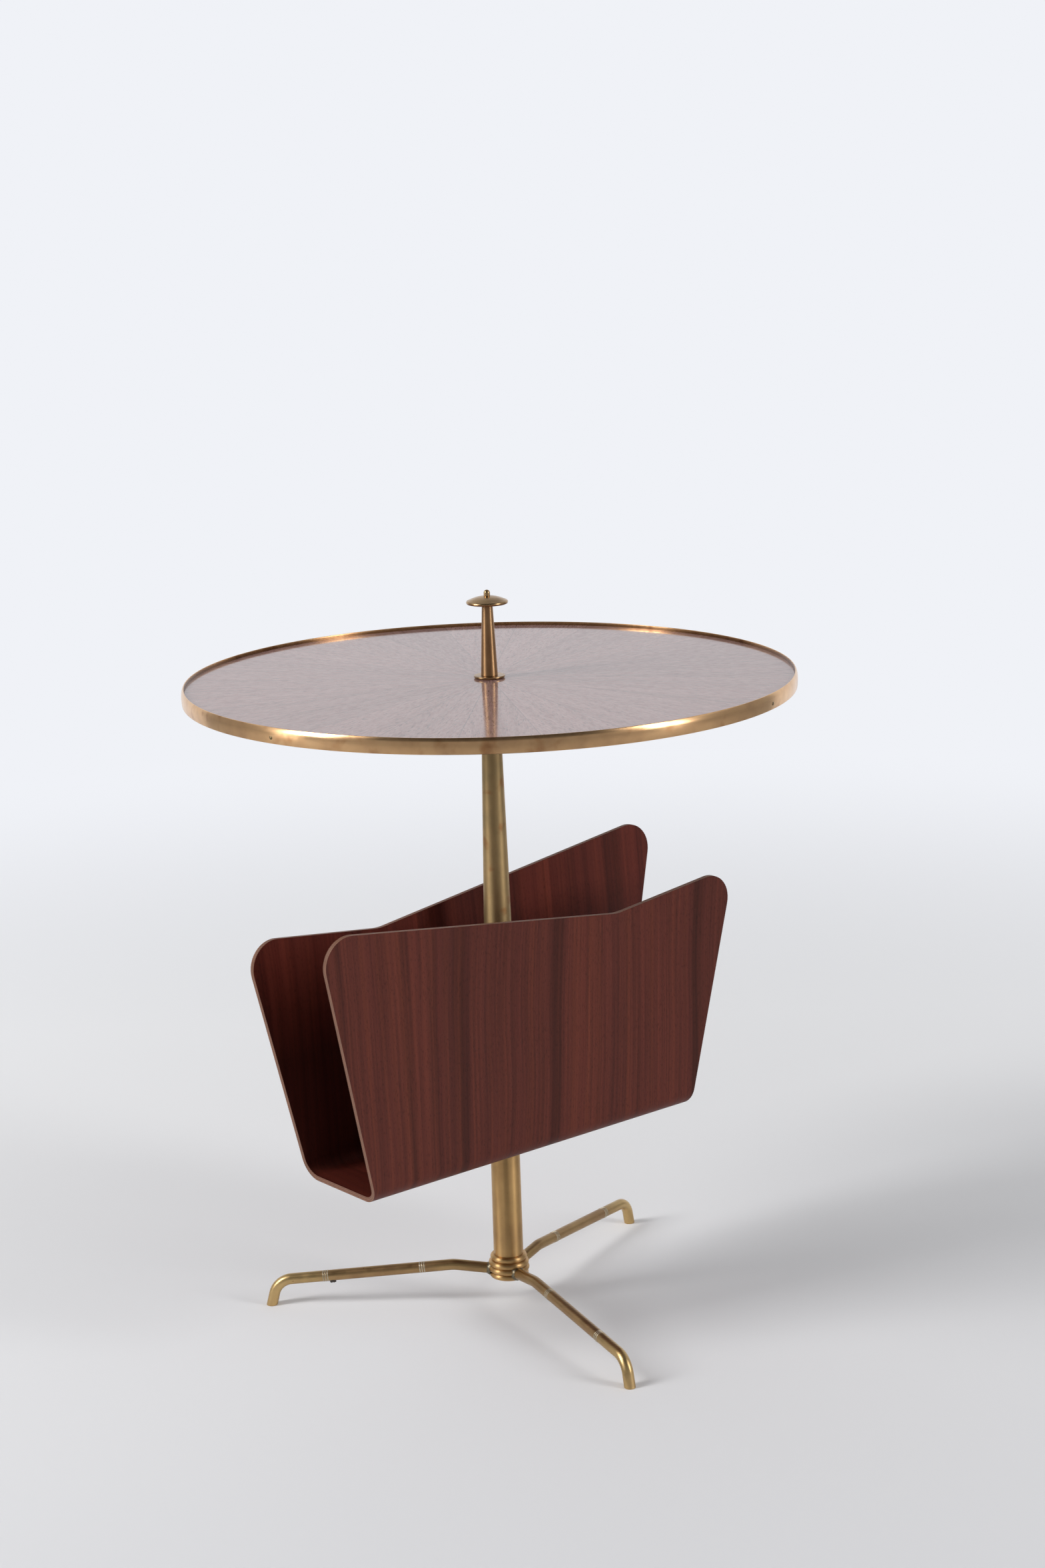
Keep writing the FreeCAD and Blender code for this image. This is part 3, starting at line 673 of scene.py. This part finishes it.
legPatterns = [  # pattern, its copies' first name, finish, slot, and the first name of the CAD nodes
    (legPattern, "leg", legBrass, "leg_brass", "leg_"),
    (ringsPattern, "rings", ringMetal, "ring_metal", "leg_rings_"),
    (solderPattern, "solder", solderGrey, None, None),
]
for pattern, base, finish, slotName, node in legPatterns:
    for side, bearing in legRod["bearings"].items():
        twin = placed(copied(pattern, base + side), turn=(0, 0, math.radians(bearing)))
        dress(twin, finish)
        settle(twin, "frame", [node + side.lower()] if node else ())
    bpy.data.objects.remove(pattern)


# bent plywood rack: one panel drawn, its lower edge bent round to the floor's middle,
# then turned for the other half

rackSheet = {
    "ply": 4.0 * mm, "under": 145.2 * mm, "halfLength": 170.9 * mm, "halfWidth": 47.7 * mm,
    "flare": 2.4, "endSplay": 12.6, "bend": 16.0 * mm, "bendSteps": 12,
    "dipAlong": 83.4 * mm, "dipUp": 192.2 * mm, "dipRound": 45.0 * mm, "dipSteps": 8,
    "longRun": 7.8, "shortRun": 6.7, "cornerRound": 23.0 * mm, "cornerSteps": 14,
    "edgeRound": 1.0 * mm, "edgeSteps": 3, "hole": 8.05 * mm, "holeSides": 32, "holeFrame": 13.0 * mm,
}
flare, endSplay, longRun, shortRun = (slope(rackSheet[key]) for key in ("flare", "endSplay", "longRun", "shortRun"))
under, halfLength, dipAlong, dipUp = (rackSheet[key] for key in ("under", "halfLength", "dipAlong", "dipUp"))


def onPanel(along, up):  # a point of the front panel's outer face
    return Vector((along, -rackSheet["halfWidth"] - up * flare, under + up))


longRise = (halfLength + dipAlong + dipUp * endSplay) * longRun / (1 - endSplay * longRun)
shortRise = (halfLength - dipAlong + dipUp * endSplay) * shortRun / (1 - endSplay * shortRun)
cornerLine = Vector((0, -rackSheet["halfWidth"], under))  # where the wall and the floor would meet
sheetBend = cornerArc(cornerLine + Vector((0, -flare, 1)), cornerLine, Vector((0, 0, under)), rackSheet["bend"])
wallStart = sheetBend["start"].z - under
leftLow = onPanel(-halfLength - wallStart * endSplay, wallStart)
leftTop = onPanel(-halfLength - (dipUp + longRise) * endSplay, dipUp + longRise)
dip = onPanel(dipAlong, dipUp)
rightTop = onPanel(halfLength + (dipUp + shortRise) * endSplay, dipUp + shortRise)
rightLow = onPanel(halfLength + wallStart * endSplay, wallStart)

rackPanels = startLine("rackPanels", leftLow)
pen = leftLow
for before, corner, after, bow in ((leftLow, leftTop, dip, "corner"), (leftTop, dip, rightTop, "dip"),
                                   (dip, rightTop, rightLow, "corner")):
    arc = cornerArc(before, corner, after, rackSheet[bow + "Round"])
    drawLine(arc["start"] - pen)
    spinSelected(arc, rackSheet[bow + "Steps"])
    pen = arc["end"]
drawLine(rightLow - pen)
bpy.ops.mesh.select_all(action="SELECT")
bpy.ops.mesh.edge_face_add()  # fills the panel
pick(rackPanels, "EDGE", lambda edge: all(point.co.z < leftLow.z + near for point in edge.verts))
spinSelected(sheetBend, rackSheet["bendSteps"])
bpy.ops.mesh.extrude_edges_move(TRANSFORM_OT_translate={"value": (0, -sheetBend["end"].y, 0)})
slant = math.radians(rackSheet["endSplay"])
for end in (-1, 1):  # the bend and the floor are trimmed to the splayed ends
    pick(rackPanels, "FACE", lambda face: face.calc_center_median().z < leftLow.z)
    bpy.ops.mesh.bisect(plane_co=(end * halfLength, 0, under),
                        plane_no=(end * math.cos(slant), 0, -math.sin(slant)), clear_outer=True)
bpy.ops.mesh.select_mode(type="VERT")
bpy.ops.mesh.select_all(action="SELECT")
bpy.ops.mesh.duplicate()
bpy.ops.transform.rotate(value=math.pi, orient_axis="Z", center_override=(0, 0, 0))
bpy.ops.mesh.select_all(action="SELECT")
bpy.ops.mesh.remove_doubles(threshold=loose)
hole = rackSheet["holeFrame"]


def onFloor(face):
    return abs(face.calc_center_median().z - under) < near


def insideFrame(face):
    return onFloor(face) and max(abs(part) for part in face.calc_center_median().xy) < hole


def besideHole(edge):
    return edge.is_boundary and max(abs(part) for point in edge.verts for part in point.co.xy) < hole + near


for normal in ((1, 0, 0), (0, 1, 0)):  # a square round the stem's hole
    for side in (-1, 1):
        pick(rackPanels, "FACE", onFloor)
        bpy.ops.mesh.bisect(plane_co=tuple(side * hole * part for part in normal), plane_no=normal)
pick(rackPanels, "FACE", insideFrame)
bpy.ops.mesh.delete(type="FACE")
perSide = rackSheet["holeSides"] // 4
for cuts, length in ((perSide - 1, 2 * hole), (perSide // 2 - 1, hole)):
    pick(rackPanels, "EDGE", lambda edge: besideHole(edge) and abs(edge.calc_length() - length) < loose)
    bpy.ops.mesh.subdivide(number_cuts=cuts)
bpy.ops.mesh.primitive_circle_add(vertices=rackSheet["holeSides"], radius=rackSheet["hole"], location=(0, 0, under))
pick(rackPanels, "EDGE", lambda edge: besideHole(edge) or edge.is_wire)
bpy.ops.mesh.bridge_edge_loops()
closeSeams()
bpy.ops.mesh.select_mode(type="FACE")
floorFace = min(bmesh.from_edit_mesh(rackPanels.data).faces, key=lambda face: face.calc_center_median().z)
if floorFace.normal.z > 0:
    bpy.ops.mesh.select_all(action="SELECT")
    bpy.ops.mesh.flip_normals()
bpy.ops.object.mode_set(mode="OBJECT")
print("rack sheet:", len(rackPanels.data.polygons), "faces")

rackOutside = makeVeneer("rackOutside", {
    "main": (0.136, 0.0315, 0.0206), "dark": (0.099, 0.0243, 0.0170), "light": (0.166, 0.0385, 0.0235),
    "cool": (0.87, 0.84, 0.90), "warm": (1.13, 1.12, 0.99), "sway": 0.050,
    "bands": (22.0, 0.5), "figure": (42.0, 0.6), "threads": (150.0, 0.8), "lines": (420.0, 5.0),
    "pores": (1000.0, 300.0), "stripe": 0.34, "streak": 0.42, "pore": 0.24,
    "rough": (0.42, 0.54), "specular": 0.16, "bump": 0.05, "shift": (0, 0, 0),
})
rackInsideWithPaintedShade = makeVeneer("rackInsideWithPaintedShade", {
    "main": (0.153, 0.0272, 0.0168), "dark": (0.108, 0.0206, 0.0136), "light": (0.204, 0.0370, 0.0216),
    "cool": (0.84, 0.78, 0.82), "warm": (1.14, 1.16, 1.06), "sway": 0.050,
    "bands": (26.0, 0.5), "figure": (36.0, 0.6), "threads": (150.0, 0.8), "lines": (400.0, 5.0),
    "pores": (1000.0, 300.0), "stripe": 0.30, "streak": 0.42, "pore": 0.22,
    "rough": (0.42, 0.54), "specular": 0.16, "bump": 0.05, "shift": (3.7, 1.3, 2.1),
    # painted shade: darker low on the inner walls, and less on the rack's floor
    "depth": (0.149, 0.345), "depthTones": [(0.0, 0.64), (0.05, 0.36), (0.50, 0.33), (0.95, 1.0)],
})


def makePlyEdge(name, look):  # layers follow the depth below the sheet's outer face
    finish, tree, shader = newFinish(name)
    setSockets(shader, {"Specular IOR Level": look["specular"]})
    place = objectPlace(tree)
    parts = split(tree, place)
    bendCentre = sheetBend["centre"]
    upWall = math2(tree, "MAXIMUM", math2(tree, "SUBTRACT", parts["Z"], bendCentre.z), 0.0)
    across = math2(tree, "SUBTRACT", math2(tree, "ABSOLUTE", parts["Y"]), abs(bendCentre.y))
    across = math2(tree, "MAXIMUM", math2(tree, "SUBTRACT", across, math2(tree, "MULTIPLY", upWall, flare)), 0.0)
    down = math2(tree, "MAXIMUM", math2(tree, "SUBTRACT", bendCentre.z, parts["Z"]), 0.0)
    squares = math2(tree, "ADD", math2(tree, "POWER", across, 2.0), math2(tree, "POWER", down, 2.0))
    depth = math2(tree, "SUBTRACT", rackSheet["bend"], math2(tree, "SQRT", squares))
    layer = math2(tree, "PINGPONG", math2(tree, "DIVIDE", depth, look["layer"]), 1.0)
    tone = ramp(tree, layer, list(zip(look["layerFade"], (look["dark"], look["main"]))))
    blotch = stretchedNoise(tree, place, look["blotch"], detail=4.0, roughness=0.6)
    stains = ramp(tree, blotch, [(noiseLow, grey(look["stain"])), (noiseHigh, white)])
    tree.links.new(multiply(tree, tone, stains), shader.inputs["Base Color"])
    tree.links.new(mapped(tree, blotch, *look["rough"]), shader.inputs["Roughness"])
    bumped(tree, shader, blotch, look["bump"])
    return finish


plyEdge = makePlyEdge("plyEdge", {
    "main": (0.28, 0.141, 0.088), "dark": (0.165, 0.075, 0.048), "layer": 0.8 * mm, "layerFade": (0.35, 0.55),
    "blotch": (240, 240, 60), "stain": 0.72, "rough": (0.45, 0.6), "specular": 0.25, "bump": 0.1,
})
onlyPiece(rackPanels)
dress(rackPanels, rackOutside, rackInsideWithPaintedShade, plyEdge)
wall = rackPanels.modifiers.new("sheetThickness", "SOLIDIFY")
wall.thickness = rackSheet["ply"]
wall.offset = -1.0
wall.use_even_offset = True
wall.use_quality_normals = True
wall.material_offset = 1
wall.material_offset_rim = 2
bpy.ops.object.modifier_apply(modifier=wall.name)
soften = rackPanels.modifiers.new("softEdges", "BEVEL")
soften.width = rackSheet["edgeRound"]
soften.segments = rackSheet["edgeSteps"]
soften.limit_method = "ANGLE"
soften.angle_limit = math.radians(60)
soften.material = 0  # the face veneer runs over the rounding
bpy.ops.object.modifier_apply(modifier=soften.name)
settle(rackPanels, "rack", ["rack_shell"])


# round top: sunburst veneer inside a brass rim

sunburst = {
    "section": [(3.5, 541.8, 0), (247.45, 541.8, 0), (247.45, 542.6, 0), (3.5, 542.6, 0)], "steps": 192,
    "main": (0.345, 0.212, 0.189), "dark": (0.290, 0.170, 0.148), "light": (0.380, 0.240, 0.215),
    "wedges": 24, "leafTone": 0.87, "leafStep": 0.23, "seam": 0.45, "seamWide": 0.5 * mm, "seamCore": 0.3,
    "bands": (3.5, 110.0, 1.0), "lines": (60.0, 620.0, 3.0), "flecks": (140.0, 400.0, 2.0),
    "pores": (110.0, 1100.0, 5.0), "stripe": 0.15, "pore": 0.55, "fleckTint": (0.87, 0.80, 0.82),
    "rough": (0.20, 0.30), "bump": 0.015, "specular": 0.0,
    "coat": 1.0, "coatRough": 0.115, "coatIor": 1.73, "matt": 0.10, "pit": 0.006,
}
sunburstGrain = {  # as veneerGrain
    "bands": (3.0, 0.55, 0.2, (0.28, 0.5, 0.72)),
    "lines": (4.0, 0.65, 0.1, (0.30, 0.54)),
    "pores": (2.0, 0.5, 0.0, (0.58, 0.68)),
    "flecks": (3.0, 0.6, 0.3, (0.36, 0.58)),
}


def makeSunburst(name, look):
    finish, tree, shader = newFinish(name)
    setSockets(shader, {"Coat Weight": look["coat"], "Coat Roughness": look["coatRough"],
                        "Coat IOR": look["coatIor"], "Specular IOR Level": look["specular"]})
    place = objectPlace(tree)
    parts = split(tree, place)
    step = math.tau / look["wedges"]
    share = math2(tree, "DIVIDE", math2(tree, "ARCTAN2", parts["Y"], parts["X"]), step)
    leaf = math2(tree, "FLOOR", share)
    level = addNode(tree, "ShaderNodeVectorRotate", rotation_type="Z_AXIS")  # lays each wedge along X
    tree.links.new(place, level.inputs["Vector"])
    tree.links.new(math2(tree, "MULTIPLY", math2(tree, "ADD", leaf, 0.5), -step), level.inputs["Angle"])
    turned = split(tree, level.outputs["Vector"])
    flipped = math2(tree, "SUBTRACT", 1.0, math2(tree, "MULTIPLY", math2(tree, "PINGPONG", leaf, 1.0), 2.0))
    leafSpace = addNode(tree, "ShaderNodeCombineXYZ")  # leaves of one stack, every other one turned over
    tree.links.new(turned["X"], leafSpace.inputs["X"])
    tree.links.new(math2(tree, "MULTIPLY", turned["Y"], flipped), leafSpace.inputs["Y"])
    tree.links.new(math2(tree, "MULTIPLY", leaf, look["leafStep"]), leafSpace.inputs["Z"])
    colours = {
        "bands": (look["dark"], look["main"], look["light"]), "lines": (grey(1 - look["stripe"]), white),
        "pores": (white, grey(1 - look["pore"])), "flecks": (look["fleckTint"], white),
    }
    noises, colour = grained(tree, leafSpace.outputs["Vector"], sunburstGrain, look, colours)
    own = addNode(tree, "ShaderNodeTexWhiteNoise", noise_dimensions="1D")
    tree.links.new(leaf, own.inputs["W"])
    leafTone = ramp(tree, own.outputs["Value"], [(0.0, grey(look["leafTone"])), (1.0, white)])
    wedgeWidth = math2(tree, "MULTIPLY", turned["X"], step)
    toSeam = math2(tree, "MULTIPLY", math2(tree, "PINGPONG", share, 0.5), wedgeWidth)
    besideSeam = mapped(tree, toSeam, 0, 1, 0, look["seamWide"])
    seams = ramp(tree, besideSeam, [(look["seamCore"], grey(1 - look["seam"])), (1.0, white)])
    tree.links.new(multiply(tree, colour, leafTone, seams), shader.inputs["Base Color"])
    tree.links.new(mapped(tree, noises["lines"], *look["rough"]), shader.inputs["Roughness"])
    bumped(tree, shader, noises["lines"], look["bump"])
    fleckLevels = sunburstGrain["flecks"][-1]
    shine = mapped(tree, noises["flecks"], look["coat"] - look["matt"], look["coat"], *fleckLevels)
    tree.links.new(shine, shader.inputs["Coat Weight"])  # the lacquer is thin over the darker flecks
    bumped(tree, shader, noises["pores"], look["pit"], "Coat Normal")  # and sinks into the open pores
    return finish


topLeaves = turnOnLathe("topLeaves", sunburst["section"], sunburst["steps"])
dress(topLeaves, makeSunburst("sunburstVeneer", sunburst))
settle(topLeaves, "frame", ["top_veneer"])

rimBand = {  # its face is drawn slightly full, and rolls over into the lip
    "section": [(247.5, 533.1, 0), (249.2, 533.1, 0), (249.5, 533.2, 249.6, 533.5, 3),
                (249.96, 537.34, 249.9, 541.2, 8), (249.493, 543.37, 248.6, 545.39, 10),
                (248.212, 545.61, 247.822, 545.387, 8), (247.5, 542.5, 0)],
    "steps": 240,
}
topRim = turnOnLathe("topRim", rimBand["section"], rimBand["steps"])
dress(topRim, rimBrass)
settle(topRim, "frame", ["rim_band"])


# collar, grip and finial above the top

finialTurning = {
    "topCollar": {"node": "collar", "finish": finialBrass, "steps": 72, "section": [
        (3.5, 542.6, 0), (11.7, 542.6, 0), (12.7, 543.6, 0.2), (12.7, 544.8, 0.4), (3.5, 544.8, 0)]},
    "gripCone": {"node": "grip", "finish": gripBrass, "steps": 72, "section": [
        (3.05, 544.8, 0), (6.9, 544.8, 0.3), (4.4, 603.4, 0.3), (1.55, 603.4, 0), (1.55, 575.2, 0), (3.05, 575.2, 0)]},
    "finialDisc": {"node": "finial_disc", "finish": finialBrass, "steps": 72, "section": [
        (1.55, 603.4, 0), (15.5, 603.4, 0), (17.0, 604.9, 15.5, 606.4, 10), (7.75, 609.208, 1.55, 610.0, 12)]},
    "finialScrew": {"node": "finial_screw", "finish": finialBrass, "steps": 72, "section": [
        (0, 591.4, 0), (1.5, 591.4, 0.2), (1.5, 610.0, 0), (2.6, 610.0, 0.15), (2.6, 612.4, 0),
        (1.838, 614.238, 0, 615.0, 8)]},
}
for pieceName, turning in finialTurning.items():
    piece = turnOnLathe(pieceName, turning["section"], turning["steps"])
    dress(piece, turning["finish"])
    settle(piece, "frame", [turning["node"]])


# CAD nodes that stay, with finishes of their own

backingVeneer = makeVeneer("backingVeneer", {
    "main": (0.20, 0.090, 0.048), "dark": (0.14, 0.062, 0.034), "light": (0.26, 0.125, 0.068),
    "cool": (0.88, 0.84, 0.86), "warm": (1.06, 1.08, 1.04), "sway": 0.040,
    "bands": (22.0, 0.9), "figure": (11.0, 0.8), "threads": (130.0, 1.0), "lines": (420.0, 3.0),
    "pores": (1300.0, 40.0), "stripe": 0.25, "streak": 0.22, "pore": 0.3,
    "rough": (0.5, 0.62), "specular": 0.35, "bump": 0.08, "shift": (1.1, 0.4, 0),
})
coreBoard = makeVeneer("coreBoard", {
    "main": (0.42, 0.27, 0.14), "dark": (0.34, 0.21, 0.105), "light": (0.50, 0.34, 0.19),
    "cool": (0.92, 0.90, 0.90), "warm": (1.04, 1.05, 1.04), "sway": 0.040,
    "bands": (18.0, 1.2), "figure": (11.0, 1.2), "threads": (120.0, 2.0), "lines": (300.0, 6.0),
    "pores": (900.0, 60.0), "stripe": 0.2, "streak": 0.15, "pore": 0.2,
    "rough": (0.6, 0.75), "specular": 0.3, "bump": 0.1, "shift": (0, 2.0, 0),
})
pinBrass = makeMetal("pinBrass", {
    "main": (0.24, 0.175, 0.09), "dull": (0.15, 0.105, 0.058), "bright": (0.36, 0.27, 0.14),
    "clouds": 300.0, "lines": (900, 900, 900), "streak": 0.12, "scratch": 0.05, "brushed": 0.0,
    "specks": 900.0, "speckEdge": 0.62, "speckTint": (0.4, 0.33, 0.27), "rough": (0.28, 0.42),
})
darkSteel = makeMetal("darkSteel", {
    "main": (0.10, 0.09, 0.08), "dull": (0.06, 0.052, 0.045), "bright": (0.17, 0.15, 0.13),
    "clouds": 260.0, "lines": (900, 900, 900), "streak": 0.15, "scratch": 0.06, "brushed": 0.0,
    "specks": 800.0, "speckEdge": 0.64, "speckTint": (0.7, 0.5, 0.4), "rough": (0.35, 0.5),
})
zincSteel = makeMetal("zincSteel", {
    "main": (0.52, 0.52, 0.51), "dull": (0.38, 0.38, 0.37), "bright": (0.64, 0.64, 0.62),
    "clouds": 120.0, "lines": (400, 400, 900), "streak": 0.12, "scratch": 0.05, "brushed": 0.0,
    "specks": 600.0, "speckEdge": 0.66, "speckTint": (0.6, 0.52, 0.44), "rough": (0.28, 0.42),
})


def makeFibre(name, look):
    finish, tree, shader = newFinish(name)
    felted = stretchedNoise(tree, objectPlace(tree), grey(look["grain"]), detail=5.0, roughness=0.65)
    colour = ramp(tree, felted, [(noiseLow, look["dark"]), (noiseHigh, look["main"])])
    tree.links.new(colour, shader.inputs["Base Color"])
    tree.links.new(mapped(tree, felted, *look["rough"]), shader.inputs["Roughness"])
    bumped(tree, shader, felted, look["bump"])
    return finish


washerFibre = makeFibre("washerFibre", {
    "main": (0.12, 0.07, 0.05), "dark": (0.06, 0.034, 0.025), "grain": 900.0, "rough": (0.7, 0.88), "bump": 0.25,
})
keptNodes = {
    "base_washer": zincSteel, "base_nut": zincSteel, "tie_rod": zincSteel, "flange_screws": zincSteel,
    "friction_washer_lower": washerFibre, "friction_washer_upper": washerFibre, "swivel_bush": stemBrass,
    "top_flange": stemBrass, "top_backing": backingVeneer, "top_core": coreBoard, "rim_pins": pinBrass,
    "leg_set_screw": darkSteel,
}
for node, finish in keptNodes.items():
    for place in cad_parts[node].material_slots:
        place.material = finish
print("kept nodes finished:", len(keptNodes))
